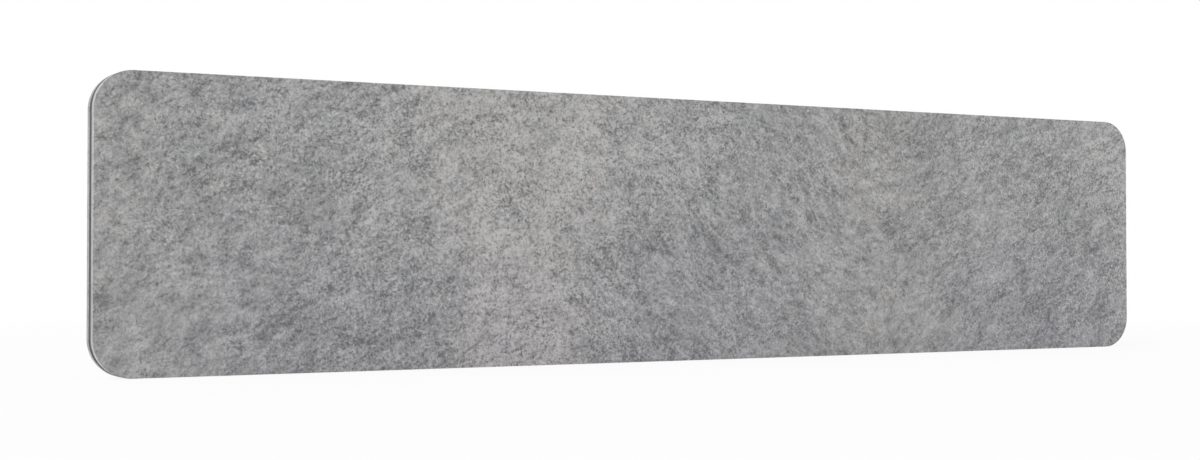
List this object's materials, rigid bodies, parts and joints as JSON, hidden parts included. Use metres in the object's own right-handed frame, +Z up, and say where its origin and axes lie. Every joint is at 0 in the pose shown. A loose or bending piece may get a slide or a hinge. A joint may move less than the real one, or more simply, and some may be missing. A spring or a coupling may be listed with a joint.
{
  "type": "acoustic divider screen",
  "caption": "Long low acoustic desk screen: pressed felt boards bonded to both sides of a slim dark frame, with rounded corners and tapped clamp holes in its bottom edge.",
  "frame": {"origin": "middle of the screen at the level of its bottom edge, halfway through its thickness", "axes": "+X along the screen to the right as seen from the front, -Y out of the front face, +Z up"},
  "size_m": [1.6, 0.03, 0.35],
  "materials": {
    "grey_felt": "matte",
    "graphite_anodised": "satin",
    "graphite_nylon": "matte",
    "zinc_steel": "satin",
    "foam_tape": "matte",
    "polyester_wool": "matte"
  },
  "bodies": {
    "root": {"front_felt_panel": "grey_felt", "rear_felt_panel": "grey_felt", "top_rail": "graphite_anodised", "bottom_rail": "graphite_anodised", "left_stile": "graphite_anodised", "right_stile": "graphite_anodised", "left_middle_stile": "graphite_anodised", "right_middle_stile": "graphite_anodised", "top_left_corner_block": "graphite_nylon", "top_right_corner_block": "graphite_nylon", "bottom_left_corner_block": "graphite_nylon", "bottom_right_corner_block": "graphite_nylon", "top_left_connector": "graphite_nylon", "top_right_connector": "graphite_nylon", "bottom_left_connector": "graphite_nylon", "bottom_right_connector": "graphite_nylon", "corner_screws": "zinc_steel", "connector_screws": "zinc_steel", "left_absorber_pad": "polyester_wool", "middle_absorber_pad": "polyester_wool", "right_absorber_pad": "polyester_wool", "front_bonding_tapes": "foam_tape", "rear_bonding_tapes": "foam_tape"}
  },
  "joints": []
}
